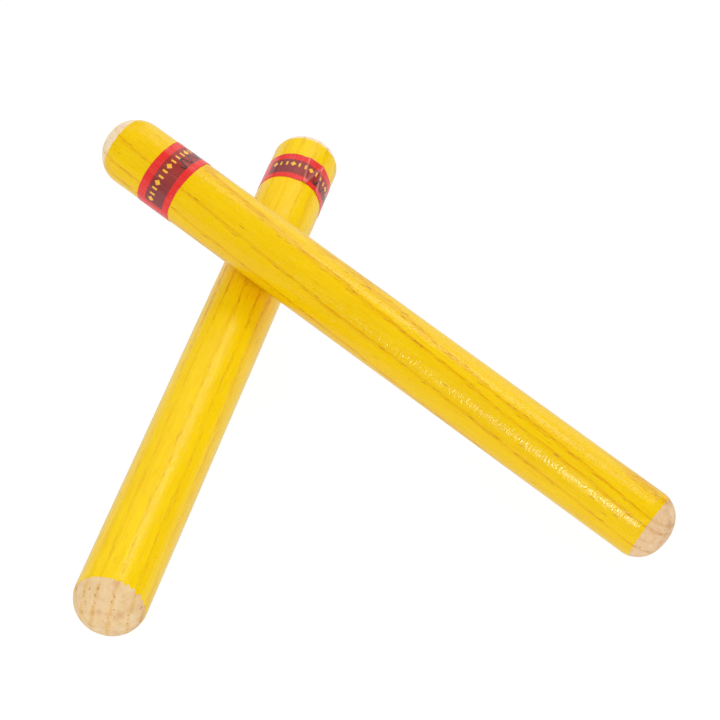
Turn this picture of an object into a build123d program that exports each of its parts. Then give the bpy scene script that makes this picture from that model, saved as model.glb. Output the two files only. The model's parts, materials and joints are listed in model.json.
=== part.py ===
from build123d import *

import os
from dataclasses import dataclass
from math import atan2, cos, degrees, radians, sin, sqrt

# A pair of wooden claves at rest: one stick lies flat, the other leans across it with one end on
# the floor. Each stick is a solid dowel with domed, hand-sanded ends, and wears a printed film
# label near one end. Millimetres, +Z up, the lower stick along +Y with its label towards +Y.
# The origin is on the floor, under the middle of the pair's box.

# The sticks
STICK_LENGTH = 200.0
STICK_RADIUS = 10.0

# How the upper stick lies on the lower one
CROSSING_ON_LOWER = 31.7  # from the lower stick's middle towards its label
CROSSING_ON_UPPER = 42.45  # from the upper stick's middle towards its label
UPPER_HEADING = -20.13  # degrees from +X, of the end that rests on the floor
CONTACT_GAP = 0.1  # between the two round surfaces where they cross

# The film labels
LABEL_THICKNESS = 0.1
LABEL_WIDTH = 11.2
LABEL_LENGTH = 60.0  # of the strip before it is wrapped, so its two ends don't meet
LABEL_LEAD = 21.4  # from the strip's first end to its title panel, along the strip
LOWER_LABEL_INSET = 14.2  # from the stick's tip to the label
UPPER_LABEL_INSET = 18.8
UPPER_PANEL_DIRECTION = (-0.3683, -0.9126, -0.1759)  # where the upper label's panel begins


@dataclass(frozen=True)
class Dome:
    """A stick's rounded end: a nose arc about the axis, blended into the side by a shoulder arc."""

    shoulder_radius: float
    nose_radius: float

    @property
    def nose_centre(self):
        """How far the nose arc's centre lies inside the plane where the straight side ends."""
        across = STICK_RADIUS - self.shoulder_radius
        return sqrt((self.nose_radius - self.shoulder_radius) ** 2 - across**2)

    @property
    def height(self):
        """How far the dome stands out past the straight side."""
        return self.nose_radius - self.nose_centre

    @property
    def blend(self):
        """The point, as (radius, height over the straight side), where the two arcs meet."""
        across = STICK_RADIUS - self.shoulder_radius
        turn = atan2(across, self.nose_centre)
        return self.nose_radius * sin(turn), self.nose_radius * cos(turn) - self.nose_centre

    def shoulder_middle(self):
        """A point half way round the shoulder arc, as (radius, height over the straight side)."""
        across = STICK_RADIUS - self.shoulder_radius
        turn = (radians(90) + atan2(across, self.nose_centre)) / 2
        return across + self.shoulder_radius * sin(turn), self.shoulder_radius * cos(turn)

    def nose_middle(self):
        """A point half way round the nose arc, as (radius, height over the straight side)."""
        turn = atan2(STICK_RADIUS - self.shoulder_radius, self.nose_centre) / 2
        return self.nose_radius * sin(turn), self.nose_radius * cos(turn) - self.nose_centre


# Each end was sanded by hand, so no two are quite alike
LOWER_LABELLED_END = Dome(shoulder_radius=5.0, nose_radius=12.6)
LOWER_PLAIN_END = Dome(shoulder_radius=8.6, nose_radius=12.1)
UPPER_LABELLED_END = Dome(shoulder_radius=9.4, nose_radius=12.1)
UPPER_PLAIN_END = Dome(shoulder_radius=8.0, nose_radius=13.6)


def end_arcs(dome, side):
    """The two arcs of one end's half outline, from the straight side to the tip on the axis.

    side is +1 for the labelled end, at +Z of the stick's own frame, and -1 for the plain end.
    """
    straight_end = STICK_LENGTH / 2 - dome.height

    def at(point):
        return point[0], side * (straight_end + point[1])

    shoulder = ThreePointArc(at((STICK_RADIUS, 0)), at(dome.shoulder_middle()), at(dome.blend))
    nose = ThreePointArc(at(dome.blend), at(dome.nose_middle()), at((0, dome.height)))
    return shoulder, nose


def make_stick(labelled_end, plain_end):
    """A solid stick about its own Z axis, with its middle at the origin."""
    with BuildPart() as stick:
        with BuildSketch(Plane.XZ):
            with BuildLine():
                top_shoulder, top_nose = end_arcs(labelled_end, 1)
                bottom_shoulder, bottom_nose = end_arcs(plain_end, -1)
                Line(bottom_shoulder @ 0, top_shoulder @ 0)
                Line(top_nose @ 1, bottom_nose @ 1)
            make_face()
        revolve(axis=Axis.Z)
    return stick.part


def make_label(inset):
    """A film strip wrapped round the stick, its panel starting on +X of the stick's own frame."""
    middle = STICK_LENGTH / 2 - inset - LABEL_WIDTH / 2
    with BuildPart() as label:
        with BuildSketch(Plane.XZ):
            with Locations((STICK_RADIUS, middle)):
                Rectangle(LABEL_THICKNESS, LABEL_WIDTH, align=(Align.MIN, Align.CENTER))
        revolve(axis=Axis.Z, revolution_arc=degrees(LABEL_LENGTH / STICK_RADIUS))
    return Rot(Z=-degrees(LABEL_LEAD / STICK_RADIUS)) * label.part


def resting_tilt(dome):
    """The angle, in degrees, at which the upper stick rests on the lower one and on the floor."""
    reach = STICK_LENGTH / 2 - dome.height + CROSSING_ON_UPPER

    def end_height(tilt):
        """How high the upper stick's plain end clears the floor at this tilt."""
        rise, run = sin(radians(tilt)), cos(radians(tilt))
        across = run * cos(radians(UPPER_HEADING))
        crossing = STICK_RADIUS + (2 * STICK_RADIUS + CONTACT_GAP) * across / sqrt(rise**2 + across**2)
        side = (STICK_RADIUS - dome.shoulder_radius) * run + dome.shoulder_radius
        return crossing - reach * rise - side

    low, high = 0.0, 45.0
    while high - low > 1e-9:
        middle = (low + high) / 2
        low, high = (middle, high) if end_height(middle) > 0 else (low, middle)
    return low


def lower_place():
    """Where the lower stick lies: along +Y, its label's gap facing straight down.

    The gap lets the stick itself rest on the floor, and not the film.
    """
    gap_middle = radians(180) + (LABEL_LENGTH / 2 - LABEL_LEAD) / STICK_RADIUS
    panel = Vector(sin(gap_middle), 0, -cos(gap_middle))
    return Plane(origin=(0, 0, STICK_RADIUS), x_dir=panel, z_dir=(0, 1, 0)).location


def upper_place():
    """Where the upper stick lies: leaning across the lower one, its plain end on the floor."""
    tilt = radians(resting_tilt(UPPER_PLAIN_END))
    heading = radians(UPPER_HEADING)
    to_plain_end = Vector(cos(tilt) * cos(heading), cos(tilt) * sin(heading), -sin(tilt))
    contact_normal = to_plain_end.cross(Vector(0, 1, 0)).normalized()
    on_lower = Vector(0, CROSSING_ON_LOWER, STICK_RADIUS)
    on_upper = on_lower + contact_normal * (2 * STICK_RADIUS + CONTACT_GAP)
    middle = on_upper + to_plain_end * CROSSING_ON_UPPER
    return Plane(origin=middle, x_dir=Vector(*UPPER_PANEL_DIRECTION), z_dir=to_plain_end * -1).location


def make_pair():
    """Every node by name, placed in the pair's own frame."""
    lower, upper = lower_place(), upper_place()
    nodes = {
        "lower_stick": lower * make_stick(LOWER_LABELLED_END, LOWER_PLAIN_END),
        "lower_label": lower * make_label(LOWER_LABEL_INSET),
        "upper_stick": upper * make_stick(UPPER_LABELLED_END, UPPER_PLAIN_END),
        "upper_label": upper * make_label(UPPER_LABEL_INSET),
    }
    box = Compound(list(nodes.values())).bounding_box()
    to_origin = Pos(-box.center().X, -box.center().Y, -box.min.Z)
    return {name: to_origin * shape for name, shape in nodes.items()}


os.makedirs("parts", exist_ok=True)
for name, shape in make_pair().items():
    export_step(shape, f"parts/{name}.step")
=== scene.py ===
import json
import logging
import math
from collections.abc import Callable, Iterable
from dataclasses import dataclass
from enum import Enum

import bpy
from mathutils import Matrix, Vector, noise


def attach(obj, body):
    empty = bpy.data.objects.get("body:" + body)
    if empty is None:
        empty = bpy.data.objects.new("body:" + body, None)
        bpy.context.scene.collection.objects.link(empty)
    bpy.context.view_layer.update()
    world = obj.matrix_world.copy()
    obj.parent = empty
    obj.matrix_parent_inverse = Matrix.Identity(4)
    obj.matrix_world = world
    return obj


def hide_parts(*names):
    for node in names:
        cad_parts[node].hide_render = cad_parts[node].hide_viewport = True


# A pair of hardwood claves: yellow stained sticks with bare domed ends, each with a printed film
# label round it. Lengths are in millimetres here, and turn into metres where a mesh is made.

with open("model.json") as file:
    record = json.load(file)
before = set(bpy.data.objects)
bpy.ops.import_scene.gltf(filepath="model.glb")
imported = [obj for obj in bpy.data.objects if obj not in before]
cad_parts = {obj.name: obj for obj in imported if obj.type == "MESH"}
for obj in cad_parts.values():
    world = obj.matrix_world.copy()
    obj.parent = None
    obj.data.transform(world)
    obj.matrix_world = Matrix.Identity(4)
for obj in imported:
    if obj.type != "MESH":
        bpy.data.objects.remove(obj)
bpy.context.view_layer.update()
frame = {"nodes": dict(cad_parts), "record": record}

log = logging.getLogger("claves")

MM = 0.001
STICK_LENGTH = 200.0
STICK_RADIUS = 10.0
LABEL_LENGTH = 60.0
LABEL_WIDTH = 11.2
HALF_GAP = math.pi * STICK_RADIUS - LABEL_LENGTH / 2

Socket = bpy.types.NodeSocket
Colour = tuple[float, float, float]
Value = float | tuple | bpy.types.NodeSocket


def srgb(red: int, green: int, blue: int) -> Colour:
    """The linear colour of a paint chip.

    Args:
        red, green, blue: The chip's display values, 0 to 255.

    Returns:
        The colour as a shader takes it.
    """

    def linear(channel: int) -> float:
        """One channel without its display curve."""
        part = channel / 255
        return part / 12.92 if part <= 0.04045 else ((part + 0.055) / 1.055) ** 2.4

    return linear(red), linear(green), linear(blue)


def smooth(value: float, low: float, high: float) -> float:
    """A soft step from 0 at low to 1 at high."""
    part = min(max((value - low) / (high - low), 0.0), 1.0)
    return part * part * (3 - 2 * part)


def wobble(point: Vector, height: float, fineness: float = 1.0) -> float:
    """Smooth unevenness of a given height, which changes faster where it is finer."""
    return height * noise.noise(point * fineness)


# ---------------------------------------------------------------- wiring shaders


class Bench:
    """A node tree being wired, with one short call for each kind of node."""

    def __init__(self, tree: bpy.types.NodeTree) -> None:
        """Starts on an empty tree."""
        self.tree = tree
        tree.nodes.clear()

    def feed(self, socket: Socket, value: Value) -> None:
        """Gives an input socket what it takes.

        Args:
            socket: The input socket.
            value: The output socket to link to it, or its plain value.
        """
        if isinstance(value, bpy.types.NodeSocket):
            self.tree.links.new(value, socket)
        else:
            socket.default_value = value

    def node(self, kind: str, inputs: dict | None = None, **settings: object) -> bpy.types.Node:
        """Adds a node.

        Args:
            kind: Blender's name for the node type.
            inputs: Values or sockets by input name or index.
            settings: The node's own properties.

        Returns:
            The new node.
        """
        made = self.tree.nodes.new(kind)
        for name, value in settings.items():
            setattr(made, name, value)
        for name, value in (inputs or {}).items():
            self.feed(made.inputs[name], value)
        return made

    def number(self, operation: str, *values: Value) -> Socket:
        """Arithmetic on numbers, where the operation is a Math node's own, such as SINE."""
        return self.node("ShaderNodeMath", dict(enumerate(values)), operation=operation).outputs[0]

    def plus(self, first: Value, second: Value) -> Socket:
        """The sum of two numbers."""
        return self.number("ADD", first, second)

    def minus(self, first: Value, second: Value) -> Socket:
        """The first number less the second."""
        return self.number("SUBTRACT", first, second)

    def times(self, first: Value, second: Value) -> Socket:
        """The product of two numbers."""
        return self.number("MULTIPLY", first, second)

    def size(self, value: Value) -> Socket:
        """A number without its sign."""
        return self.number("ABSOLUTE", value)

    def vector(self, operation: str, *values: Value) -> Socket:
        """Arithmetic on vectors, whose DOT_PRODUCT comes out as a number."""
        made = self.node("ShaderNodeVectorMath", dict(enumerate(values)), operation=operation)
        return made.outputs["Value" if operation == "DOT_PRODUCT" else "Vector"]

    def split(self, value: Value) -> list[Socket]:
        """The X, Y and Z of a vector."""
        return list(self.node("ShaderNodeSeparateXYZ", {0: value}).outputs)

    def step(self, value: Value, low: Value, high: Value, bottom: Value = 0.0, top: Value = 1.0) -> Socket:
        """A soft step of a value from bottom at low to top at high."""
        inputs = {"Value": value, "From Min": low, "From Max": high, "To Min": bottom, "To Max": top}
        return self.node("ShaderNodeMapRange", inputs, interpolation_type="SMOOTHSTEP").outputs[0]

    def within(self, value: Value, low: float, high: float) -> Socket:
        """1 where a distance is under low, falling softly to 0 at high."""
        return self.step(value, low, high, 1.0, 0.0)

    def span(self, value: Value, bottom: Value, top: Value) -> Socket:
        """A 0 to 1 value spread over bottom to top."""
        return self.node("ShaderNodeMapRange", {"Value": value, "To Min": bottom, "To Max": top}).outputs[0]

    def mix(self, share: Value, first: Value, second: Value) -> Socket:
        """Blends two colours.

        Args:
            share: How much of the second colour shows, 0 to 1.
            first, second: The colours.

        Returns:
            The blended colour.
        """
        made = self.node("ShaderNodeMix", data_type="RGBA")
        for socket, value in zip((made.inputs[0], made.inputs[6], made.inputs[7]), (share, first, second)):
            self.feed(socket, (*value, 1.0) if isinstance(value, tuple) else value)
        return made.outputs[2]

    def glaze(self, colour: Value, *coats: tuple[Value, Value, float]) -> Value:
        """Lays colours over each other.

        Args:
            colour: The lowest one.
            coats: Where each next one lies, the colour itself, and how strong it is, 0 to 1.

        Returns:
            The colour on top.
        """
        for mask, coat, share in coats:
            colour = self.mix(mask if share == 1.0 else self.times(mask, share), colour, coat)
        return colour

    def total(self, *parts: tuple[Value, float]) -> Socket:
        """Adds up values, each multiplied by its own number.

        Args:
            parts: Pairs of a value and its number.

        Returns:
            The sum.
        """
        made: Value = 0.0
        for value, share in parts:
            made = self.number("MULTIPLY_ADD", value, share, made)
        return made

    def ramp(self, value: Value, stops: Iterable[tuple[float, float]], hard: bool = False) -> Socket:
        """Turns a value into grey levels.

        Args:
            value: What is looked up, 0 to 1.
            stops: Pairs of a place and the level there.
            hard: Whether the level jumps at each place.

        Returns:
            The level.
        """
        made = self.node("ShaderNodeValToRGB", {0: value})
        made.color_ramp.interpolation = "CONSTANT" if hard else "LINEAR"
        marks = made.color_ramp.elements
        for index, (place, level) in enumerate(stops):
            mark = marks[index] if index < 2 else marks.new(place)
            mark.position = place
            mark.color = (level, level, level, 1.0)
        return made.outputs[0]

    def stretch(self, position: Value, across: float, along: float) -> Socket:
        """Stick coordinates scaled so that a texture's unit cell is this many millimetres."""
        return self.vector("MULTIPLY", position, (1 / across, 1 / across, 1 / along))

    def cells(self, position: Value, across: float, along: float) -> tuple[Socket, Socket]:
        """Scatters cells over the wood.

        Args:
            position: Stick coordinates.
            across: A cell's width in millimetres.
            along: Its length along the stick.

        Returns:
            Each cell's own random number, and the distance to its middle.
        """
        inputs = {"Vector": self.stretch(position, across, along), "Scale": 1.0, "Randomness": 1.0}
        made = self.node("ShaderNodeTexVoronoi", inputs)
        return self.split(made.outputs["Color"])[0], made.outputs["Distance"]


@dataclass(frozen=True)
class Cloud:
    """Smooth noise.

    Fields:
        across, along: the size of its cells in millimetres, across the stick and along it.
        detail: how many finer layers it has.
        roughness: how strong the finer layers are.
    """

    across: float
    along: float
    detail: float = 2.0
    roughness: float = 0.5

    def over(self, bench: Bench, position: Value) -> Socket:
        """Spreads the noise over a stick.

        Args:
            bench: The tree to wire it in.
            position: Stick coordinates.

        Returns:
            The noise, 0 to 1.
        """
        cells = bench.stretch(position, self.across, self.along)
        inputs = {"Vector": cells, "Scale": 1.0, "Detail": self.detail, "Roughness": self.roughness}
        return bench.node("ShaderNodeTexNoise", inputs).outputs[0]


class Effect:
    """A node group that is built once and placed in every material that shows the effect."""

    name = ""
    takes: dict[str, str] = {}
    gives: dict[str, str] = {}

    def wire(self, bench: Bench, given: dict[str, Socket], result: Callable[[str, Value], None]) -> None:
        """Wires the inside of the group: reads given sockets and passes results by name."""
        raise NotImplementedError

    def build(self) -> bpy.types.NodeTree:
        """Makes the group with its named sockets.

        Returns:
            The new group.
        """
        tree = bpy.data.node_groups.new(self.name, "ShaderNodeTree")
        bench = Bench(tree)
        for sockets, side in ((self.takes, "INPUT"), (self.gives, "OUTPUT")):
            for socket, kind in sockets.items():
                tree.interface.new_socket(socket, in_out=side, socket_type=f"NodeSocket{kind}")
        given = {socket.name: socket for socket in bench.node("NodeGroupInput").outputs if socket.name}
        end = bench.node("NodeGroupOutput")
        self.wire(bench, given, lambda socket, value: bench.feed(end.inputs[socket], value))
        return tree

    def place(self, bench: Bench, **values: Value) -> dict[str, Socket]:
        """Puts the group in a material.

        Args:
            bench: The material's own tree.
            values: What each input takes, by its name with _ for a space.

        Returns:
            The group's outputs by name.
        """
        made = bench.node("ShaderNodeGroup")
        made.node_tree = bpy.data.node_groups.get(self.name) or self.build()
        for name, value in values.items():
            bench.feed(made.inputs[name.replace("_", " ")], value)
        return {socket.name: socket for socket in made.outputs}


class RingField(Effect):
    """How far each point lies across the growth rings, which run nearly along the stick."""

    name = "growth_ring_field"
    takes = {"Position": "Vector", "Heading": "Vector", "Bend": "Float"}
    gives = {"Across": "Float"}

    WANDER = Cloud(16.0, 45.0)
    RAGGED = Cloud(1.3, 11.0)
    RAGGED_SHARE = 0.4

    def wire(self, bench: Bench, given: dict[str, Socket], result: Callable[[str, Value], None]) -> None:
        """Flat rings, bent a little so that their lines wander along the wood.

        Args:
            bench: The group's tree.
            given: Its input sockets by name.
            result: Feeds one of its outputs.
        """
        wander = bench.minus(self.WANDER.over(bench, given["Position"]), 0.5)
        ragged = bench.minus(self.RAGGED.over(bench, given["Position"]), 0.5)
        shift = bench.times(bench.total((wander, 1.0), (ragged, self.RAGGED_SHARE)), given["Bend"])
        flat = bench.vector("DOT_PRODUCT", given["Position"], given["Heading"])
        result("Across", bench.plus(flat, shift))


class Pores(Effect):
    """The open pores of ring-porous wood: dashes along the side and dots on the end grain."""

    name = "wood_pores"
    takes = {"Position": "Vector", "Early Wood": "Float"}
    gives = {"Pore": "Float", "Fleck": "Float"}

    WAVER = Cloud(0.9, 5.0)
    WAVER_REACH = (0.22, 0.22, 0.0)
    CORE = (0.12, 0.37)
    # For each output: cell size across and along, and the share of cells filled in late and early wood.
    SIZES = (("Pore", 0.34, 4.6, 0.01, 0.85), ("Fleck", 0.24, 2.4, 0.1, 0.6))

    def wire(self, bench: Bench, given: dict[str, Socket], result: Callable[[str, Value], None]) -> None:
        """Long thin cells, most of them empty outside the early wood.

        Args:
            bench: The group's tree.
            given: Its input sockets by name.
            result: Feeds one of its outputs.
        """
        waver = self.WAVER.over(bench, given["Position"])
        sideways = bench.node("ShaderNodeCombineXYZ", {0: waver, 1: waver}).outputs[0]
        bent = bench.vector("ADD", given["Position"], bench.vector("MULTIPLY", self.WAVER_REACH, sideways))
        for output, across, along, in_late, in_early in self.SIZES:
            chance, distance = bench.cells(bent, across, along)
            filled = bench.number("LESS_THAN", chance, bench.span(given["Early Wood"], in_late, in_early))
            result(output, bench.times(bench.within(distance, *self.CORE), filled))


class Fibres(Effect):
    """Fine streaks of the wood's fibres, and the cloudy change of tone along them."""

    name = "wood_fibres"
    takes = {"Position": "Vector"}
    gives = {"Streak": "Float", "Tone": "Float"}

    STREAK = Cloud(0.38, 9.0, 3.0, 0.65)
    TONE = Cloud(4.5, 32.0, 3.0, 0.55)

    def wire(self, bench: Bench, given: dict[str, Socket], result: Callable[[str, Value], None]) -> None:
        """Noise drawn out along the stick at two sizes."""
        result("Streak", self.STREAK.over(bench, given["Position"]))
        result("Tone", self.TONE.over(bench, given["Position"]))


class Handling(Effect):
    """Small knocks, dust and smears that break up the shine of any of the surfaces."""

    name = "handling_marks"
    takes = {"Position": "Vector"}
    gives = {"Smear": "Float", "Speck": "Float", "Chatter": "Float", "Grit": "Float", "Scratch": "Float"}

    SMEAR = Cloud(3.0, 7.0, 4.0, 0.6)
    CHATTER = Cloud(1.4, 0.6, 1.0)
    GRIT = Cloud(0.34, 0.6, 2.0, 0.6)
    SPECK_CELL = (1.1, 1.5)
    SPECK_CORE = (0.05, 0.16)
    SPECK_SHARE = 0.06
    SCRATCH = Cloud(0.16, 3.4)
    SCRATCH_STEP = (0.6, 0.75)
    SLANTS = ((0.9, 0.4, 0.3), (-0.7, 1.1, 0.2))

    def wire(self, bench: Bench, given: dict[str, Socket], result: Callable[[str, Value], None]) -> None:
        """Soft smears, pale specks, the ripples that a dowel cutter leaves, and slanting scratches.

        Args:
            bench: The group's tree.
            given: Its input sockets by name.
            result: Feeds one of its outputs.
        """
        position = given["Position"]
        result("Smear", self.SMEAR.over(bench, position))
        result("Chatter", self.CHATTER.over(bench, position))
        result("Grit", self.GRIT.over(bench, position))
        chance, distance = bench.cells(position, *self.SPECK_CELL)
        chosen = bench.number("LESS_THAN", chance, self.SPECK_SHARE)
        result("Speck", bench.times(bench.within(distance, *self.SPECK_CORE), chosen))
        lines = []
        for slant in self.SLANTS:
            turned = bench.node("ShaderNodeMapping", {"Vector": position, "Rotation": slant}).outputs[0]
            lines.append(bench.step(self.SCRATCH.over(bench, turned), *self.SCRATCH_STEP))
        result("Scratch", bench.number("MAXIMUM", *lines))


class SandedEnd(Effect):
    """The blotches of end grain that was sanded by hand and then touched."""

    name = "sanded_end_blotches"
    takes = {"Position": "Vector"}
    gives = {"Mottle": "Float", "Dark Spot": "Float", "Pale Spot": "Float"}

    MOTTLE = Cloud(0.55, 0.9, 3.0, 0.7)
    MOTTLE_STEP = (0.36, 0.64)
    SPOTS = Cloud(2.4, 4.0, 1.0)
    SPOT_SHIFT = (7.44, 3.12, 6.8)
    DARK_STEP = (0.46, 0.86)
    PALE_STEP = (0.47, 0.2)

    def wire(self, bench: Bench, given: dict[str, Socket], result: Callable[[str, Value], None]) -> None:
        """A fine mottle, and larger spots where the noise is high or low.

        Args:
            bench: The group's tree.
            given: Its input sockets by name.
            result: Feeds one of its outputs.
        """
        result("Mottle", bench.step(self.MOTTLE.over(bench, given["Position"]), *self.MOTTLE_STEP))
        spots = self.SPOTS.over(bench, bench.vector("ADD", given["Position"], self.SPOT_SHIFT))
        result("Dark Spot", bench.step(spots, *self.DARK_STEP))
        result("Pale Spot", bench.step(spots, *self.PALE_STEP))


class Beat(Enum):
    """One step of the printed rhythm row."""

    REST = 0.0
    STRIKE = 1.0


class RhythmPrint(Effect):
    """The label's pattern: a panel with a row of rhythm marks over a wave.

    It is laid out in millimetres along the strip from its first end, and across it from the edge
    nearest the stick's tip.
    """

    name = "rhythm_print"
    takes = {"Along": "Float", "Down": "Float"}
    gives = {"Panel": "Float", "Far Panel": "Float", "Marks": "Float", "Wave": "Float"}

    PANEL = (21.4, 55.4)
    PANEL_EDGES = (2.6, 9.0)
    FAR_PANEL = (23.4, 37.4)
    SOFT_EDGE = 0.05
    ROW_START = 22.0
    ROW_MIDDLE = 4.65
    BEAT_LENGTH = 1.95
    STEPS = 16
    STRIKES = (0, 3, 6, 10, 12)
    MARK_HALF = 1.05
    DIAMOND_HALF = 0.9
    DIAMOND_EDGE = (0.92, 1.08)
    BAR_SIDE = (0.26, 0.34)
    BAR_END = (0.798, 0.882)
    WAVE = (36.4, 54.2)
    WAVE_MIDDLE = 7.1
    WAVE_FADE = 14.0
    WAVE_HEIGHTS = (1.5525, 0.6325)
    WAVE_LENGTH = 3.1
    WAVE_STROKE = (0.2, 0.34)

    def window(self, bench: Bench, value: Value, low: float, high: float) -> Socket:
        """Picks out a stretch of a value.

        Args:
            bench: The tree to wire it in.
            value: The distance that is looked at.
            low, high: Where the stretch starts and ends.

        Returns:
            1 inside the stretch, with a soft edge.
        """
        soft = self.SOFT_EDGE
        return bench.times(bench.step(value, low - soft, low + soft),
                           bench.within(value, high - soft, high + soft))

    def rhythm(self, bench: Bench, along: Value, down: Value) -> Socket:
        """The row of marks: a diamond for each beat that is struck and a short bar for each rest.

        Args:
            bench: The tree to wire it in.
            along, down: Distances along the strip and across it.

        Returns:
            1 on the marks.
        """
        beats = bench.number("DIVIDE", bench.minus(along, self.ROW_START), self.BEAT_LENGTH)
        place = bench.number("DIVIDE", bench.plus(bench.number("FLOOR", beats), 0.5), self.STEPS)
        stops = []
        for step in range(self.STEPS):
            beat = Beat.STRIKE if step in self.STRIKES else Beat.REST
            stops.append((step / self.STEPS, beat.value))
        struck = bench.ramp(place, stops, hard=True)
        side = bench.size(bench.times(bench.minus(bench.number("FRACT", beats), 0.5), self.BEAT_LENGTH))
        rise = bench.size(bench.minus(down, self.ROW_MIDDLE))
        slope = bench.total((side, 1 / self.DIAMOND_HALF), (rise, 1 / self.MARK_HALF))
        diamond = bench.within(slope, *self.DIAMOND_EDGE)
        bar = bench.times(bench.within(side, *self.BAR_SIDE), bench.within(rise, *self.BAR_END))
        marks = bench.plus(bench.times(struck, diamond), bench.times(bench.minus(1.0, struck), bar))
        row_end = self.ROW_START + self.STEPS * self.BEAT_LENGTH
        return bench.times(marks, self.window(bench, along, self.ROW_START, row_end))

    def wave(self, bench: Bench, along: Value, down: Value) -> Socket:
        """The brush line: a wave that is tallest at its start.

        Args:
            bench: The tree to wire it in.
            along, down: Distances along the strip and across it.

        Returns:
            1 on the line.
        """
        run = bench.minus(along, self.WAVE[0])
        turn = bench.times(run, math.tau / self.WAVE_LENGTH)
        height = bench.step(run, 0.0, self.WAVE_FADE, *self.WAVE_HEIGHTS)
        line = bench.plus(bench.times(bench.number("SINE", turn), height), self.WAVE_MIDDLE)
        steep = bench.times(bench.times(bench.number("COSINE", turn), height), math.tau / self.WAVE_LENGTH)
        lean = bench.number("SQRT", bench.plus(bench.times(steep, steep), 1.0))
        off = bench.number("DIVIDE", bench.size(bench.minus(down, line)), lean)
        return bench.times(bench.within(off, *self.WAVE_STROKE), self.window(bench, along, *self.WAVE))

    def wire(self, bench: Bench, given: dict[str, Socket], result: Callable[[str, Value], None]) -> None:
        """The panel, the row and the wave, each as a mask.

        Args:
            bench: The group's tree.
            given: Its input sockets by name.
            result: Feeds one of its outputs.
        """
        along, down = given["Along"], given["Down"]
        result("Panel", bench.times(self.window(bench, along, *self.PANEL),
                                    self.window(bench, down, *self.PANEL_EDGES)))
        result("Far Panel", bench.step(along, *self.FAR_PANEL))
        result("Marks", self.rhythm(bench, along, down))
        result("Wave", self.wave(bench, along, down))


# ---------------------------------------------------------------- finishes


@dataclass(frozen=True)
class Grain:
    """How the growth rings lie in one stick.

    Fields:
        heading: degrees about the stick's axis of the direction that crosses the rings.
        drift: how much a ring line shifts across for each millimetre along the stick.
        rings: where each ring's dark early wood starts, in millimetres across from the axis.
        strength: how dark the rings are in most places, from 0 to 1.
        dark_and_shaded_middle: millimetres along the stick to the middle of the stretch where they are
            darkest, which on the lower stick lies under the crossing stick and is partly painted shade.
        bend: how far the ring lines wander, in millimetres.
    """

    heading: float
    drift: float
    rings: tuple[float, ...]
    strength: float = 1.0
    dark_and_shaded_middle: float = 0.0
    bend: float = 2.2

    REACH = 20.0
    PROFILE = ((-0.12, 0.0), (0.0, 1.0), (0.42, 0.7), (1.05, 0.0))
    DARK_AND_SHADED_REACH = (12.0, 24.0)

    def vector(self) -> tuple[float, float, float]:
        """The direction across the rings, leaning a little along the stick."""
        turn = math.radians(self.heading)
        return math.cos(turn), math.sin(turn), self.drift

    def early_wood(self, bench: Bench, position: Value) -> Socket:
        """How far into a ring's porous early wood each point is.

        Args:
            bench: The material's tree.
            position: Stick coordinates.

        Returns:
            0 in late wood to 1 where a ring starts.
        """
        across = RingField().place(bench, Position=position, Heading=self.vector(), Bend=self.bend)["Across"]
        place = bench.number("MULTIPLY_ADD", across, 0.5 / self.REACH, 0.5)
        stops = [(0.0, 0.0), (1.0, 0.0)]
        for ring in self.rings:
            stops += [((ring + shift) / (2 * self.REACH) + 0.5, level) for shift, level in self.PROFILE]
        return bench.ramp(place, stops)

    def weight(self, bench: Bench, position: Value) -> Socket:
        """How dark the rings and pores are at each point, 0 to 1, with a darker stretch that is partly
        painted shade.
        """
        off = bench.size(bench.minus(bench.split(position)[2], self.dark_and_shaded_middle))
        return bench.step(off, *self.DARK_AND_SHADED_REACH, 1.0, self.strength)


@dataclass(frozen=True)
class Placing:
    """Where a stick lies in the frame: its own +Z points to its labelled tip, +X to its label's gap."""

    matrix: Matrix

    def coordinates(self, bench: Bench) -> Socket:
        """Shader coordinates in the stick's own frame.

        Args:
            bench: The material's tree.

        Returns:
            The position of each point, in millimetres.
        """
        inputs = {
            "Vector": bench.node("ShaderNodeTexCoord").outputs["Object"],
            "Location": self.matrix.to_translation(),
            "Rotation": self.matrix.to_euler(),
            "Scale": (MM, MM, MM),
        }
        return bench.node("ShaderNodeMapping", inputs, vector_type="TEXTURE").outputs[0]


@dataclass(frozen=True)
class Crease:
    """A wrinkle in a label's film.

    Fields:
        place: its distance along the strip, halfway across it.
        slant: how far it shifts along for each millimetre across.
        rise, width: its height and half its width.
    """

    place: float
    slant: float
    rise: float
    width: float

    def middle(self, across: float) -> float:
        """Where it lies along the strip, at a distance across it."""
        return self.place + self.slant * (across - LABEL_WIDTH / 2)


def new_material(name: str) -> tuple[bpy.types.Material, Bench]:
    """Makes an empty node material.

    Args:
        name: The material's name.

    Returns:
        The material and the bench to wire it on.
    """
    material = bpy.data.materials.new(name)
    material.use_nodes = True
    return material, Bench(material.node_tree)


def close_material(bench: Bench, inputs: dict[str, Value], height: Value) -> None:
    """Ends a material with a Principled BSDF.

    Args:
        bench: The material's tree.
        inputs: The shader's inputs by name.
        height: Height of the surface detail in millimetres, for the bump.
    """
    bump = bench.node("ShaderNodeBump", {"Strength": 1.0, "Distance": MM, "Height": height})
    shader = bench.node("ShaderNodeBsdfPrincipled", inputs)
    bench.feed(shader.inputs["Normal"], bump.outputs[0])
    bench.feed(bench.node("ShaderNodeOutputMaterial").inputs[0], shader.outputs[0])


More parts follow.
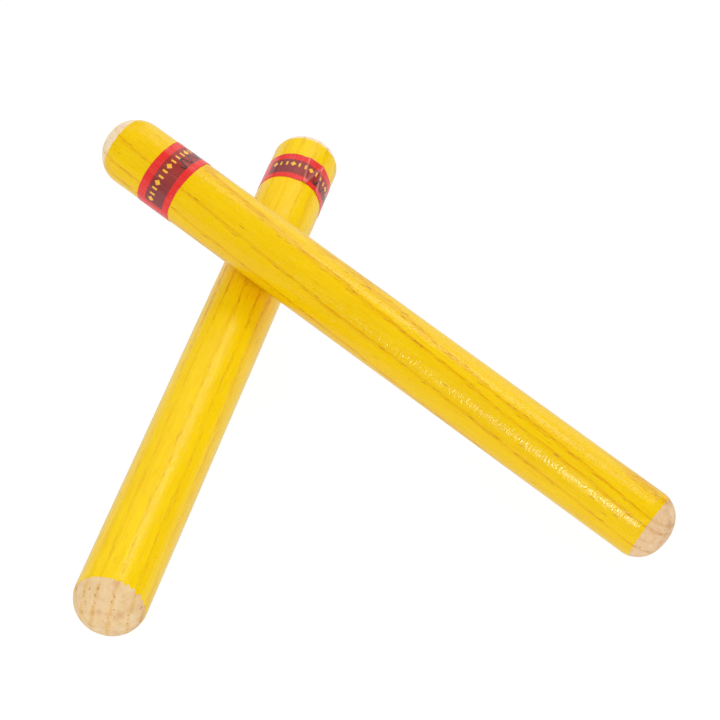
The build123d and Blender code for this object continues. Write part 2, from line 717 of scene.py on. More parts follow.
@dataclass(frozen=True)
class StainedWood:
    """Hardwood under yellow stain and a gloss lacquer that has sunk into the grain.

    Each share is how strongly a colour lies over the ones before it. Each step is where in its
    noise a mark starts and is full, and relief is each mark's height in millimetres.
    """

    stain: Colour = srgb(245, 203, 0)
    deep: Colour = srgb(240, 193, 0)
    band: Colour = srgb(224, 153, 0)
    pore: Colour = srgb(168, 88, 0)
    pale: Colour = srgb(252, 222, 90)
    deep_share: float = 0.5
    fibre_share: float = 0.22
    grit_share: float = 0.22
    fleck_share: float = 0.3
    pore_share: float = 0.85
    speck_share: float = 0.45
    faintest_line: float = 0.35
    gloss: tuple[float, float] = (0.07, 0.23)
    pore_dulling: float = 0.3
    grit_dulling: float = 0.12

    IOR = 1.32
    DEEP_STEP = (0.38, 0.66)
    FIBRE_STEP = (0.46, 0.66)
    GRIT_STEP = (0.54, 0.72)
    DULL_STEP = (0.42, 0.6)
    RELIEF = {"Pore": -0.02, "Fleck": -0.01, "Chatter": 0.11, "Grit": 0.02, "Streak": 0.02,
              "Scratch": -0.003}

    def make(self, name: str, placing: Placing, grain: Grain) -> bpy.types.Material:
        """The finish for one stick's side.

        Args:
            name: The material's name.
            placing: The stick's own frame.
            grain: How its rings lie.

        Returns:
            The new material.
        """
        material, bench = new_material(name)
        position = placing.coordinates(bench)
        early = grain.early_wood(bench, position)
        weight = grain.weight(bench, position)
        marks = Pores().place(bench, Position=position, Early_Wood=early)
        marks |= Fibres().place(bench, Position=position) | Handling().place(bench, Position=position)
        fibre = bench.step(marks["Streak"], *self.FIBRE_STEP)
        lines = bench.times(early, bench.span(fibre, self.faintest_line, 1.0))
        # Ring lines, flecks and pores grow darker over a stretch that is partly painted shade where the other
        # stick crosses.
        colour = bench.glaze(
            self.stain,
            (bench.step(marks["Tone"], *self.DEEP_STEP), self.deep, self.deep_share),
            (fibre, self.band, self.fibre_share),
            (bench.times(lines, weight), self.band, 1.0),
            (bench.step(marks["Grit"], *self.GRIT_STEP), self.pale, self.grit_share),
            (bench.times(marks["Fleck"], weight), self.pore, self.fleck_share),
            (bench.times(marks["Pore"], weight), self.pore, self.pore_share),
            (marks["Speck"], self.pale, self.speck_share))
        rough = bench.total((bench.span(marks["Smear"], *self.gloss), 1.0),
                            (marks["Pore"], self.pore_dulling),
                            (bench.step(marks["Grit"], *self.DULL_STEP), self.grit_dulling))
        height = bench.total(*((marks[mark], depth) for mark, depth in self.RELIEF.items()))
        close_material(bench, {"Base Color": colour, "Roughness": rough, "IOR": self.IOR}, height)
        return material


@dataclass(frozen=True)
class BareWood:
    """Sanded end grain with no finish on it, with shares, steps and relief as on the stained wood."""

    late: Colour = srgb(236, 202, 151)
    early: Colour = srgb(231, 186, 106)
    pore: Colour = srgb(190, 116, 42)
    soaked: Colour = srgb(232, 176, 62)
    ray: Colour = srgb(248, 228, 196)
    smudge: Colour = srgb(212, 158, 106)
    early_share: float = 0.85
    mottle_share: float = 0.3
    ray_share: float = 0.35
    spot_share: float = 0.6
    pale_share: float = 0.35
    smear_share: float = 0.4
    scratch_share: float = 0.25
    fleck_share: float = 0.8
    pore_share: float = 0.9
    dullness: tuple[float, float] = (0.5, 0.68)

    IOR = 1.45
    PORE_SIZE = 1.9
    IN_LATE_WOOD = 0.08
    EARLY_STEP = (0.0, 0.6)
    RAY_STEP = (0.45, 0.75)
    SMEAR_STEP = (0.5, 0.7)
    RELIEF = {"Pore": -0.08, "Fleck": -0.04, "Mottle": 0.02, "Scratch": -0.02, "Streak": 0.03}

    def make(self, name: str, placing: Placing, grain: Grain) -> bpy.types.Material:
        """The finish for one of a stick's ends: the same rings and pores, cut across.

        Args:
            name: The material's name.
            placing: The stick's own frame.
            grain: How its rings lie.

        Returns:
            The new material.
        """
        material, bench = new_material(name)
        position = placing.coordinates(bench)
        early = grain.early_wood(bench, position)
        marks = Pores().place(bench, Position=bench.stretch(position, self.PORE_SIZE, self.PORE_SIZE),
                              Early_Wood=bench.span(early, self.IN_LATE_WOOD, 1.0))
        for effect in (Fibres(), Handling(), SandedEnd()):
            marks |= effect.place(bench, Position=position)
        colour = bench.glaze(
            self.late,
            (bench.step(early, *self.EARLY_STEP), self.early, self.early_share),
            (marks["Mottle"], self.early, self.mottle_share),
            (bench.step(marks["Streak"], *self.RAY_STEP), self.ray, self.ray_share),
            (marks["Dark Spot"], self.smudge, self.spot_share),
            (marks["Pale Spot"], self.ray, self.pale_share),
            (bench.step(marks["Smear"], *self.SMEAR_STEP), self.smudge, self.smear_share),
            (marks["Scratch"], self.ray, self.scratch_share),
            (marks["Fleck"], self.soaked, self.fleck_share),
            (marks["Pore"], self.pore, self.pore_share))
        rough = bench.span(marks["Smear"], *self.dullness)
        height = bench.total(*((marks[mark], depth) for mark, depth in self.RELIEF.items()))
        close_material(bench, {"Base Color": colour, "Roughness": rough, "IOR": self.IOR}, height)
        return material


@dataclass(frozen=True)
class LabelFilm:
    """A red printed film with a maroon panel, gold marks and a dark wave, hazy in streaks, with pale lines
    along its creases: painted highlights, partly the film turning white under strain.
    """

    red: Colour = srgb(232, 48, 44)
    maroon: Colour = srgb(134, 58, 62)
    russet: Colour = srgb(160, 54, 48)
    gold: Colour = srgb(244, 190, 62)
    ink: Colour = srgb(58, 52, 56)
    cloudy: Colour = srgb(250, 200, 196)
    haze_share: float = 0.08
    glint_and_strain_share: float = 0.7
    scratch_share: float = 0.08
    speck_share: float = 0.3
    gloss: tuple[float, float] = (0.14, 0.28)

    IOR = 1.42
    HAZE_STEP = (0.46, 0.74)
    CLEAREST_CREASE = 0.5
    CREASE_CORE = 0.08
    CREASE_REACH = 0.9
    RELIEF = {"Streak": 0.03, "Chatter": 0.02}

    def strip(self, bench: Bench, position: Value, tip_edge: float) -> tuple[Socket, Socket]:
        """Unwraps the film.

        Args:
            bench: The material's tree.
            position: Stick coordinates.
            tip_edge: Where the label's edge nearest the tip lies along the stick.

        Returns:
            Distances along the strip, and across it from that edge.
        """
        x, y, z = bench.split(position)
        angle = bench.number("ARCTAN2", y, x)
        angle = bench.plus(angle, bench.times(bench.number("LESS_THAN", angle, 0.0), math.tau))
        return bench.minus(bench.times(angle, STICK_RADIUS), HALF_GAP), bench.minus(tip_edge, z)

    def crease_glint_and_strain_lines(self, bench: Bench, along: Value, down: Value, creases: tuple[Crease, ...]) -> Socket:
        """Pale lines along the creases: painted highlights where the crease slopes catch the light, partly
        the film turning white under strain.

        Args:
            bench: The material's tree.
            along, down: Distances along the strip and across it.
            creases: The film's creases.

        Returns:
            How strong the pale crease lines are, 0 to 1.
        """
        lines = []
        for crease in creases:
            upright = bench.number("MULTIPLY_ADD", down, -crease.slant, along)
            off = bench.size(bench.minus(upright, crease.middle(0.0)))
            lines.append((bench.within(off, self.CREASE_CORE, crease.width * self.CREASE_REACH), crease.rise))
        return bench.total(*lines)

    def make(self, name: str, placing: Placing, tip_edge: float,
             creases: tuple[Crease, ...]) -> bpy.types.Material:
        """The finish for one label.

        Args:
            name: The material's name.
            placing: The stick's own frame.
            tip_edge: Where the label's edge nearest the tip lies along the stick.
            creases: The film's creases.

        Returns:
            The new material.
        """
        material, bench = new_material(name)
        position = placing.coordinates(bench)
        along, down = self.strip(bench, position, tip_edge)
        pattern = RhythmPrint().place(bench, Along=along, Down=down)
        marks = Fibres().place(bench, Position=position) | Handling().place(bench, Position=position)
        haze = bench.step(marks["Streak"], *self.HAZE_STEP)
        # Pale crease lines: painted highlights, partly the film turning white under strain.
        crease_glint_and_strain = bench.times(self.crease_glint_and_strain_lines(bench, along, down, creases),
                               bench.span(haze, self.CLEAREST_CREASE, 1.0))
        colour = bench.glaze(
            self.red,
            (pattern["Panel"], bench.mix(pattern["Far Panel"], self.maroon, self.russet), 1.0),
            (pattern["Marks"], self.gold, 1.0),
            (pattern["Wave"], self.ink, 1.0),
            (haze, self.cloudy, self.haze_share),
            (crease_glint_and_strain, self.cloudy, self.glint_and_strain_share),
            (marks["Scratch"], self.cloudy, self.scratch_share),
            (marks["Speck"], self.cloudy, self.speck_share))
        rough = bench.span(marks["Smear"], *self.gloss)
        height = bench.total(*((marks[mark], depth) for mark, depth in self.RELIEF.items()))
        close_material(bench, {"Base Color": colour, "Roughness": rough, "IOR": self.IOR}, height)
        return material


# ---------------------------------------------------------------- meshes


@dataclass(frozen=True)
class Dome:
    """A stick's rounded end: a nose arc about the axis, blended into the side by a shoulder arc."""

    shoulder: float
    nose: float

    @property
    def turn(self) -> float:
        """The angle from the axis at which the nose arc meets the shoulder arc."""
        return math.asin((STICK_RADIUS - self.shoulder) / (self.nose - self.shoulder))

    @property
    def height(self) -> float:
        """How far the dome stands out past the straight side."""
        return self.nose - (self.nose - self.shoulder) * math.cos(self.turn)

    @property
    def arc(self) -> float:
        """The outline's length from the tip to the straight side."""
        return self.nose * self.turn + self.shoulder * (math.pi / 2 - self.turn)

    def point(self, run: float) -> tuple[float, float, float]:
        """A point of the outline.

        Args:
            run: Distance along the outline from the tip.

        Returns:
            Radius, depth in from the tip, and the surface's tilt from facing along the axis.
        """
        nose_arc = self.nose * self.turn
        if run <= nose_arc:
            tilt = run / self.nose
            return self.nose * math.sin(tilt), self.nose * (1 - math.cos(tilt)), tilt
        if run <= self.arc:
            tilt = self.turn + (run - nose_arc) / self.shoulder
            radius = STICK_RADIUS - self.shoulder * (1 - math.sin(tilt))
            return radius, self.height - self.shoulder * math.cos(tilt), tilt
        return STICK_RADIUS, self.height + run - self.arc, math.pi / 2

    def run_at(self, depth: float) -> float:
        """Where the outline reaches a depth.

        Args:
            depth: Depth in from the tip.

        Returns:
            Distance along the outline from the tip.
        """
        nose_depth = self.nose * (1 - math.cos(self.turn))
        if depth <= nose_depth:
            return self.nose * math.acos(1 - depth / self.nose)
        if depth <= self.height:
            tilt = math.acos((self.height - depth) / self.shoulder)
            return self.nose * self.turn + self.shoulder * (tilt - self.turn)
        return self.arc + depth - self.height


@dataclass(frozen=True)
class StainEdge:
    """Where the stain and lacquer stop short of a tip.

    Fields:
        depth: mean distance in from the tip.
        lean: how much deeper it is on one side than on average.
        lean_heading: degrees about the axis of that side.
        scallop: depth of the bites that sanding took out of the edge.
        scallop_heading: degrees about the axis of the middle of the bites.
    """

    depth: float
    lean: float = 0.2
    lean_heading: float = 0.0
    scallop: float = 0.0
    scallop_heading: float = 0.0

    BITE = math.radians(12.5)
    BITE_OFFSET = 0.4
    REACH = math.radians(66.0)
    FULL_SHARE = 0.6
    # Each is a (height, fineness) of unevenness.
    BITE_DEPTHS = (0.9, 5.3)
    BITE_SPACING = (1.1, 2.6)
    SLOW_WAVER = (0.16, 3.0)
    FINE_WAVER = (0.13, 12.0)

    def shift(self, angle: float, seed: float) -> float:
        """How much further in than average the edge lies.

        Args:
            angle: Angle about the axis.
            seed: Picks the unevenness.

        Returns:
            The distance in millimetres.
        """
        lean = self.lean * math.cos(angle - math.radians(self.lean_heading))
        off = math.remainder(angle - math.radians(self.scallop_heading), math.tau)
        fade = 1 - smooth(abs(off), self.REACH * self.FULL_SHARE, self.REACH)
        circle = Vector((math.cos(angle), math.sin(angle), seed))
        swing = math.pi * off / self.BITE + wobble(circle, *self.BITE_SPACING)
        bite = self.scallop * fade * (1 + wobble(circle, *self.BITE_DEPTHS))
        waver = wobble(circle, *self.SLOW_WAVER) + wobble(circle, *self.FINE_WAVER)
        return lean + bite * (abs(math.sin(swing)) - self.BITE_OFFSET) + waver


def make_mesh(name: str, points: list, faces: list, slots: list[int] | None = None) -> bpy.types.Object:
    """A smooth-shaded mesh object in the scene.

    Args:
        name: The piece's name.
        points: Its points in metres, in the frame.
        faces: Point indices of each face.
        slots: The material slot of each face.

    Returns:
        The new object.
    """
    mesh = bpy.data.meshes.new(name)
    mesh.from_pydata(points, [], faces)
    mesh.polygons.foreach_set("use_smooth", [True] * len(faces))
    if slots:
        mesh.polygons.foreach_set("material_index", slots)
    mesh.validate()
    mesh.update()
    piece = bpy.data.objects.new(name, mesh)
    bpy.context.scene.collection.objects.link(piece)
    return piece


def unevenness(angle: float, along: float, seed: float, end: float = 0.0) -> float:
    """How far a stick's surface stands off a true turned shape.

    Args:
        angle: Angle about the axis.
        along: Distance along the stick from its middle.
        seed: Picks the stick's own unevenness.
        end: 1 on the hand-sanded ends, 0 on the side.

    Returns:
        The height in millimetres.
    """
    # Each swell is a height and a fineness.
    slow_swell, fine_swell, swell_length = (0.022, 1.3), (0.01, 4.1), 34.0
    facet_height, facets_round, facet_length = 0.07, 1.7, 5.5
    circle = Vector((math.cos(angle), math.sin(angle), along / swell_length + seed))
    side = wobble(circle, *slow_swell) + wobble(circle, *fine_swell)
    round_end = facets_round * Vector((math.cos(angle), math.sin(angle), 0.0))
    return side + end * wobble(round_end + Vector((0, 0, along / facet_length + seed)), facet_height)


@dataclass(frozen=True)
class Ring:
    """One ring of points round a stick.

    Fields:
        sign: 1 if it is counted from the labelled tip, -1 if from the plain one.
        dome, edge: that tip's shape and the stain's edge there.
        run: distance along the outline from that tip.
        past: distance past the stain's edge.
    """

    sign: int
    dome: Dome
    edge: StainEdge
    run: float
    past: float


@dataclass(frozen=True)
class Stick:
    """The wooden stick: its side, its two ends and the thin step where the lacquer stops.

    Fields:
        labelled_end, plain_end: its two rounded ends.
        labelled_edge, plain_edge: where the stain stops at each end.
        seed: picks its own unevenness.
    """

    labelled_end: Dome
    plain_end: Dome
    labelled_edge: StainEdge
    plain_edge: StainEdge
    seed: float

    COLUMNS = 192
    END_PITCH = 0.62
    SIDE_PITCH = 1.25
    EDGE_CLEARANCE = 0.45
    EDGE_RINGS = (-0.3, -0.12, -0.04, 0.0, 0.04, 0.1, 0.2, 0.45, 0.9, 1.6)
    BLEND_RINGS = 8
    BLEND_LENGTH = 2.0
    TIP_FADE = 2.5
    EDGE_FADE = 3.0
    EDGE_HOLD = (0.5, 5.0)
    SANDED_PAST_DOME = (-2.0, 4.0)
    LACQUER = 0.05
    LACQUER_STEP = (-0.02, 0.12)
    BEAD_HEIGHT = 0.02
    BEAD_MIDDLE = 0.25
    BEAD_WIDTH = 0.16

    def end_rings(self, sign: int, dome: Dome, edge: StainEdge) -> list[Ring]:
        """The rings of one end, closest together where the stain stops.

        Args:
            sign: 1 for the labelled end, -1 for the plain one.
            dome: The end's shape.
            edge: Where its stain stops.

        Returns:
            Its rings, from the tip to the straight side.
        """
        edge_run = dome.run_at(edge.depth)
        count = round(edge_run / self.END_PITCH)
        runs = [edge_run * k / count for k in range(1, count)]
        runs = [run for run in runs if run < edge_run - self.EDGE_CLEARANCE]
        runs += [edge_run + past for past in self.EDGE_RINGS]
        last, rest = runs[-1], dome.arc + self.BLEND_LENGTH - runs[-1]
        runs += [last + rest * k / self.BLEND_RINGS for k in range(1, self.BLEND_RINGS + 1)]
        return [Ring(sign, dome, edge, run, run - edge_run) for run in runs]

    def rings(self) -> list[Ring]:
        """All the rings in order.

        Returns:
            The rings from the labelled tip to the plain one.
        """
        top = self.end_rings(1, self.labelled_end, self.labelled_edge)
        bottom = self.end_rings(-1, self.plain_end, self.plain_edge)
        ends = sum(ring.run - ring.dome.arc + ring.dome.height for ring in (top[-1], bottom[-1]))
        straight = STICK_LENGTH - ends
        count = round(straight / self.SIDE_PITCH)
        runs = [top[-1].run + straight * k / count for k in range(1, count)]
        side = [Ring(1, self.labelled_end, self.labelled_edge, run, run) for run in runs]
        return top + side + bottom[::-1]

    def point(self, ring: Ring, column: int) -> Vector:
        """One point of the stick.

        Args:
            ring: The ring it lies on.
            column: Its number round the ring.

        Returns:
            The point in the stick's own frame, in metres.
        """
        angle = math.tau * column / self.COLUMNS
        hold = (1 - smooth(abs(ring.past), *self.EDGE_HOLD)) * smooth(ring.run, 0.0, self.EDGE_FADE)
        radius, depth, tilt = ring.dome.point(ring.run + ring.edge.shift(angle, self.seed + ring.sign) * hold)
        along = ring.sign * (STICK_LENGTH / 2 - depth)
        sanded = 1 - smooth(ring.run, *(ring.dome.arc + past for past in self.SANDED_PAST_DOME))
        lift = unevenness(angle, along, self.seed, sanded) * smooth(ring.run, 0.0, self.TIP_FADE)
        lift -= self.LACQUER * (1 - smooth(ring.past, *self.LACQUER_STEP))
        lift += self.BEAD_HEIGHT * math.exp(-((ring.past - self.BEAD_MIDDLE) / self.BEAD_WIDTH) ** 2)
        radius += lift * math.sin(tilt)
        along += ring.sign * lift * math.cos(tilt)
        return Vector((radius * math.cos(angle), radius * math.sin(angle), along)) * MM

    def faces(self, rings: list[Ring]) -> tuple[list[tuple[int, ...]], list[int]]:
        """Faces between rings that start and end in one point at each tip.

        Args:
            rings: The rings, whose points follow the first tip's.

        Returns:
            The faces, and each face's slot: 0 stained, 1 bare at the labelled end, 2 at the plain end.
        """
        faces, slots = [], []
        count, columns, rounding = len(rings), self.COLUMNS, 1e-6
        for column in range(columns):
            after = (column + 1) % columns
            faces.append((0, 1 + column, 1 + after))
            slots.append(1)
            for row in range(count - 1):
                here, there = 1 + row * columns, 1 + (row + 1) * columns
                faces.append((here + column, there + column, there + after, here + after))
                stained = min(rings[row].past, rings[row + 1].past) >= -rounding
                slots.append(0 if stained else 1 if row < count / 2 else 2)
            here = 1 + (count - 1) * columns
            faces.append((here + column, 1 + count * columns, here + after))
            slots.append(2)
        return faces, slots

    def build(self, name: str, placing: Placing) -> bpy.types.Object:
        """Makes the stick's mesh.

        Args:
            name: The piece's name.
            placing: The stick's own frame.

        Returns:
            The new piece.
        """
        rings = self.rings()
        points = [Vector((0, 0, STICK_LENGTH / 2 * MM))]
        points += [self.point(ring, column) for ring in rings for column in range(self.COLUMNS)]
        points.append(Vector((0, 0, -STICK_LENGTH / 2 * MM)))
        faces, slots = self.faces(rings)
        return make_mesh(name, [placing.matrix @ point for point in points], faces, slots)


@dataclass(frozen=True)
class Label:
    """The wrapped film: an outer and an inner skin joined round the edges.

    Fields:
        creases: the film's wrinkles.
        seed: picks its own unevenness, which is its stick's.
    """

    creases: tuple[Crease, ...]
    seed: float

    FILM = 0.1
    INSIDE = 0.012
    STRIP_STEPS = 288
    WIDTH_STEPS = 44
    CORNER = 1.2
    SKEW = 0.12
    RAGGED = 0.1
    RAGGED_LENGTH = 3.0
    FLATTEST = 0.45
    CREASE_LENGTH = 3.5
    PULL = 0.8
    PULL_START = 1.5
    PULL_END = (0.4, 3.5)
    CURL = 0.06
    CURL_DEPTH = 0.7
    CURL_LENGTH = 4.0
    CURL_SEED = 7.0
    CURL_SHARE = 0.2

    def crease_height(self, along: float, across: float) -> float:
        """How high the film stands where it has wrinkled.

        Args:
            along, across: Distances along the strip and across it.

        Returns:
            The height over a smooth wrap.
        """
        height = 0.0
        for crease in self.creases:
            spot = Vector((crease.place, across / self.CREASE_LENGTH, self.seed))
            fade = max(self.FLATTEST + wobble(spot, 1 - self.FLATTEST), 0.0)
            height += crease.rise * fade / math.cosh((along - crease.middle(across)) / crease.width) ** 2
        return height

    def skew(self, along: float, angle: float) -> float:
        """How far the strip wanders from its true place along the stick.

        Args:
            along: Distance along the strip.
            angle: Angle about the stick's axis.

        Returns:
            The distance towards the tip.
        """
        ragged = wobble(Vector((along / self.RAGGED_LENGTH, 0, self.seed)), self.RAGGED)
        skew = self.SKEW * math.sin(angle * 2 + self.seed) + ragged
        for crease in self.creases:
            pulled = smooth(along, crease.place - self.PULL_START, crease.place)
            released = smooth(along, *(crease.place + past for past in self.PULL_END))
            skew += self.PULL * crease.rise * (pulled - released)
        return skew

    def point(self, column: int, row: int, outer: bool, edge: float) -> Vector:
        """One point of the film.

        Args:
            column, row: Its numbers along the strip and across it.
            outer: Whether it lies on the outer skin.
            edge: Where the label's edge nearest the tip lies along the stick.

        Returns:
            The point in the stick's own frame, in metres.
        """
        across = LABEL_WIDTH * row / self.WIDTH_STEPS
        nearest = min(across, LABEL_WIDTH - across)
        inside_corner = max(self.CORNER - nearest, 0.0)
        cut = self.CORNER - math.sqrt(self.CORNER**2 - inside_corner**2)
        along = cut + (LABEL_LENGTH - 2 * cut) * column / self.STRIP_STEPS
        angle = (along + HALF_GAP) / STICK_RADIUS
        height = edge - across + self.skew(along, angle)
        curl = wobble(Vector((along / self.CURL_LENGTH, across, self.CURL_SEED)), 1.0) + self.CURL_SHARE
        curl = self.CURL * (1 - smooth(nearest, 0.0, self.CURL_DEPTH)) * max(curl, 0.0)
        lift = unevenness(angle, height, self.seed) + self.crease_height(along, across) + curl
        radius = STICK_RADIUS + lift + (self.FILM if outer else self.INSIDE)
        return Vector((radius * math.cos(angle), radius * math.sin(angle), height)) * MM

    def build(self, name: str, placing: Placing, edge: float) -> bpy.types.Object:
        """Makes the film's mesh.

        Args:
            name: The piece's name.
            placing: The stick's own frame.
            edge: Where the label's edge nearest the tip lies along the stick.

        Returns:
            The new piece.
        """
        wide, deep = self.STRIP_STEPS + 1, self.WIDTH_STEPS + 1
        points = [placing.matrix @ self.point(column, row, outer, edge)
                  for outer in (True, False) for row in range(deep) for column in range(wide)]
        skin = wide * deep
        faces = []
        for row in range(self.WIDTH_STEPS):
            for column in range(self.STRIP_STEPS):
                corner = row * wide + column
                quad = (corner, corner + wide, corner + wide + 1, corner + 1)
                faces.append(quad)
                faces.append(tuple(skin + index for index in reversed(quad)))
        rim = list(range(wide))
        rim += [row * wide + wide - 1 for row in range(1, deep)]
        rim += [(deep - 1) * wide + column for column in range(wide - 2, -1, -1)]
        rim += [row * wide for row in range(deep - 2, 0, -1)]
        for here, there in zip(rim, rim[1:] + rim[:1]):
            faces.append((here, there, there + skin, here + skin))
        return make_mesh(name, points, faces)


@dataclass(frozen=True)
class Clave:
    """One stick with its label, and their finishes.

    Fields:
        side: the stick's name in the frame, such as lower.
        grain: how its growth rings lie.
        stick, label: its two pieces.
        stain, bare, pale: the finishes of its side, its plain end and its labelled end; the labelled end's is
            a paler copy of the bare wood, painted glare for an end seen at a grazing angle.
    """

    side: str
    grain: Grain
    stick: Stick
    label: Label
    stain: StainedWood
    bare: BareWood
    pale: BareWood

    @property
    def body(self) -> str:
        """The CAD body that the stick and its label ride on."""
        return f"{self.side}_clave"

    def placing(self) -> Placing:
        """Finds the stick in the frame, from its grip mount and from the gap in its CAD label.

        Returns:
            The stick's own frame.
        """
        mount = next(m for m in frame["record"]["mounts"] if m["name"] == f"{self.side}_grip")
        to_label = -Vector(mount["axis"]).normalized()
        start = Vector(mount["pos_m"])
        stick = [v.co for v in frame["nodes"][f"{self.side}_stick"].data.vertices]
        reach = [(point - start).dot(to_label) for point in stick]
        middle = start + to_label * (min(reach) + max(reach)) / 2
        film = [v.co - middle for v in frame["nodes"][f"{self.side}_label"].data.vertices]
        pull = sum(((point - to_label * point.dot(to_label)) for point in film), Vector()) / len(film)
        to_gap = -(pull - to_label * pull.dot(to_label)).normalized()
        turn = Matrix((to_gap, to_label.cross(to_gap), to_label)).transposed().to_4x4()
        return Placing(Matrix.Translation(middle) @ turn)

    def label_edge(self, placing: Placing) -> float:
        """Finds the label on the stick, from its CAD node.

        Args:
            placing: The stick's own frame.

        Returns:
            Where the label's edge nearest the tip lies along the stick.
        """
        inverse = placing.matrix.inverted()
        film = frame["nodes"][f"{self.side}_label"].data.vertices
        return max((inverse @ v.co).z for v in film) / MM

    def build(self) -> list[bpy.types.Object]:
        """Builds and dresses the stick and its label.

        Returns:
            The finished pieces.
        """
        placing = self.placing()
        edge = self.label_edge(placing)
        stick = self.stick.build(f"{self.side}_stick_wood", placing)
        # The labelled end's finish is a paler copy of the bare wood: painted glare.
        finishes = {"stained": self.stain, "glare_painted_bare": self.pale, "bare": self.bare}
        for name, finish in finishes.items():
            stick.data.materials.append(finish.make(f"{self.side}_{name}_wood", placing, self.grain))
        label = self.label.build(f"{self.side}_label_film", placing, edge)
        film = LabelFilm().make(f"{self.side}_label_print", placing, edge, self.label.creases)
        label.data.materials.append(film)
        for piece, node, slot in ((stick, "stick", "stained_wood"), (label, "label", "label_film")):
            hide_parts(f"{self.side}_{node}")
            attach(piece, self.body)
        return [stick, label]


# ---------------------------------------------------------------- studio


def direction(heading: float, elevation: float) -> Vector:
    """The way to look from the pair, at degrees from -Y towards +X and up from level."""
    turn, rise = math.radians(heading), math.radians(elevation)
    return Vector((math.sin(turn) * math.cos(rise), -math.cos(turn) * math.cos(rise), math.sin(rise)))


@dataclass(frozen=True)
class SoftBox:
    """A rectangular soft light that faces the pair.

    Fields:
        name: the light's name.
        heading, elevation: the way to it from the pair, in degrees.
        distance, width, height: its place and size in metres.
        power: its power in watts.
        mirrored: whether glossy surfaces show it.
        scattered: whether it lights matt surfaces.
    """

    name: str
    heading: float
    elevation: float
    distance: float
    width: float
    height: float
    power: float
    mirrored: bool = True
    scattered: bool = True

    def build(self, target: Vector) -> None:
        """Hangs the light.

        Args:
            target: What it faces.
        """
        away = direction(self.heading, self.elevation)
        light = bpy.data.lights.new(self.name, "AREA")
        light.shape = "RECTANGLE"
        light.size, light.size_y, light.energy = self.width, self.height, self.power
        lamp = bpy.data.objects.new(self.name, light)
        lamp.location = target + away * self.distance
        lamp.rotation_euler = (-away).to_track_quat("-Z", "Y").to_euler()
        lamp.visible_glossy = self.mirrored
        lamp.visible_diffuse = self.scattered
        bpy.context.scene.collection.objects.link(lamp)


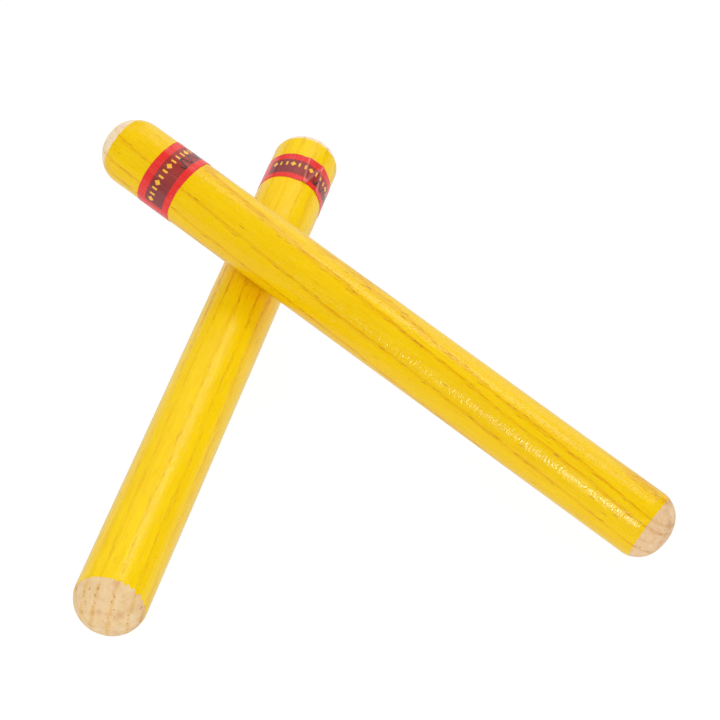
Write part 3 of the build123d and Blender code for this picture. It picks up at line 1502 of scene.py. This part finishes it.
@dataclass(frozen=True)
class Studio:
    """A white table under soft light, and the camera over it.

    Fields:
        azimuth, elevation, roll: how the camera is turned, in degrees.
        distance, aim: how far from the point that it looks at, and that point, in metres.
        lens: its focal length in millimetres.
        table_size, table_shade: the table's width in metres and its grey.
        glow, mirrored_glow: how bright the table looks, and how bright in glossy surfaces.
        ambient: how bright the light from all round is.
        boxes: the lights.
    """

    azimuth: float = 8.37
    elevation: float = 44.84
    roll: float = 9.46
    distance: float = 0.7558
    lens: float = 131.85
    aim: tuple[float, float, float] = (-0.0044, 0.0167, 0.011)
    table_size: float = 12.0
    table_shade: float = 0.06
    glow: float = 0.96
    mirrored_glow: float = 0.7104
    ambient: float = 0.67
    boxes: tuple[SoftBox, ...] = (
        SoftBox("back_soft_box", 166.0, 54.0, 1.4, 0.46, 0.42, 3.0),
        SoftBox("back_left_panel", 205.0, 42.0, 1.4, 0.7, 0.5, 0.9),
        SoftBox("low_back_panel", 172.0, 21.0, 1.5, 0.8, 0.9, 2.9),
        SoftBox("left_panel", -138.0, 22.0, 1.4, 0.8, 0.6, 0.6),
        SoftBox("left_fill", -100.0, 35.0, 1.4, 0.9, 0.6, 0.9, mirrored=False),
        SoftBox("right_fill", 100.0, 35.0, 1.4, 0.9, 0.6, 0.6, mirrored=False),
        SoftBox("front_fill", 6.0, 46.0, 1.4, 0.6, 0.5, 5.1, mirrored=False),
        SoftBox("front_lamp", -7.3, 31.0, 0.615, 0.1, 0.095, 1.7, scattered=False),
    )

    TABLE_ROUGHNESS = 0.9
    TABLE_SHINE = 0.1
    SENSOR_WIDTH = 36.0
    CLIP = (0.01, 50.0)

    def build(self) -> None:
        """Lays the table, hangs the lights and places the camera."""
        self.make_table()
        self.make_ambient()
        for box in self.boxes:
            box.build(Vector(self.aim))
        self.make_camera()
        bpy.context.scene.view_settings.view_transform = "Standard"

    def make_table(self) -> None:
        """A plain white table top that glows a little, as backlit acrylic does."""
        half = self.table_size / 2
        corners = [(-half, -half, 0), (half, -half, 0), (half, half, 0), (-half, half, 0)]
        table = make_mesh("floor", corners, [(0, 1, 2, 3)])
        material, bench = new_material("white_table")
        mirrored = bench.node("ShaderNodeLightPath").outputs["Is Glossy Ray"]
        shader = bench.node("ShaderNodeBsdfPrincipled", {
            "Base Color": (self.table_shade, self.table_shade, self.table_shade, 1.0),
            "Roughness": self.TABLE_ROUGHNESS, "Specular IOR Level": self.TABLE_SHINE,
            "Emission Color": (1.0, 1.0, 1.0, 1.0),
            "Emission Strength": bench.span(mirrored, self.glow, self.mirrored_glow)})
        bench.feed(bench.node("ShaderNodeOutputMaterial").inputs[0], shader.outputs[0])
        table.data.materials.append(material)

    def make_ambient(self) -> None:
        """Even light from all round, which glossy surfaces don't show."""
        world = bpy.data.worlds.new("studio_room")
        world.use_nodes = True
        bench = Bench(world.node_tree)
        glow = bench.node("ShaderNodeBackground", {"Color": (1.0, 1.0, 1.0, 1.0), "Strength": self.ambient})
        bench.feed(bench.node("ShaderNodeOutputWorld").inputs[0], glow.outputs[0])
        bpy.context.scene.world = world
        world.cycles_visibility.glossy = False

    def make_camera(self) -> None:
        """A long lens that looks down on the pair, rolled a little."""
        back = direction(self.azimuth, self.elevation)
        camera = bpy.data.objects.new("camera", bpy.data.cameras.new("camera"))
        camera.data.lens = self.lens
        camera.data.sensor_width = self.SENSOR_WIDTH
        level = (-back).to_track_quat("-Z", "Y").to_matrix()
        facing = level @ Matrix.Rotation(math.radians(self.roll), 3, "Z")
        camera.matrix_world = Matrix.Translation(Vector(self.aim) + back * self.distance) @ facing.to_4x4()
        camera.data.clip_start, camera.data.clip_end = self.CLIP
        bpy.context.scene.collection.objects.link(camera)
        bpy.context.scene.camera = camera


# A paler copy of the bare wood for the labelled ends, which are seen at a grazing angle: painted glare.
GLARE_PAINTED_WOOD = BareWood(late=srgb(250, 228, 192), early=srgb(243, 208, 152), smudge=srgb(236, 196, 158))

LOWER = Clave(
    side="lower",
    # Its rings are darkest round 28 mm towards the label, under the upper stick: partly painted shade.
    grain=Grain(heading=272.0, drift=0.017, rings=(-10.8, -7.6, -4.6, -0.2, 4.7, 7.7, 10.9),
                strength=0.42, dark_and_shaded_middle=28.0),
    stick=Stick(
        labelled_end=Dome(shoulder=5.0, nose=12.6),
        plain_end=Dome(shoulder=8.6, nose=12.1),
        labelled_edge=StainEdge(depth=6.2),
        plain_edge=StainEdge(depth=7.5, lean=0.15, lean_heading=192.0, scallop=0.95, scallop_heading=238.0),
        seed=3.7),
    label=Label(creases=(Crease(33.3, 0.1, 0.5, 0.5), Crease(36.0, -0.35, 0.42, 0.55),
                         Crease(38.2, 0.15, 0.46, 0.45)), seed=3.7),
    stain=StainedWood(stain=srgb(249, 210, 0), deep=srgb(244, 200, 0)),
    bare=BareWood(),
    pale=GLARE_PAINTED_WOOD,
)

UPPER = Clave(
    side="upper",
    grain=Grain(heading=80.7, drift=0.045, rings=(-14.0, -9.6, -7.3, -0.2, 6.4, 10.3, 13.5)),
    stick=Stick(
        labelled_end=Dome(shoulder=9.4, nose=12.1),
        plain_end=Dome(shoulder=8.0, nose=13.6),
        labelled_edge=StainEdge(depth=5.15),
        plain_edge=StainEdge(depth=5.9),
        seed=9.1),
    label=Label(creases=(Crease(42.6, 0.05, 0.16, 0.3), Crease(44.4, -0.05, 0.2, 0.3),
                         Crease(46.0, 0.08, 0.14, 0.3)), seed=9.1),
    stain=StainedWood(),
    bare=BareWood(late=srgb(235, 198, 150), early=srgb(226, 176, 116), smudge=srgb(202, 150, 112)),
    pale=GLARE_PAINTED_WOOD,
)


def main() -> None:
    """Builds both claves and the studio."""
    logging.basicConfig(level=logging.INFO, format="%(message)s")
    for clave in (LOWER, UPPER):
        for piece in clave.build():
            log.info("%s: %d faces on body %s", piece.name, len(piece.data.polygons), clave.body)
    Studio().build()


if __name__ == "__main__":
    main()
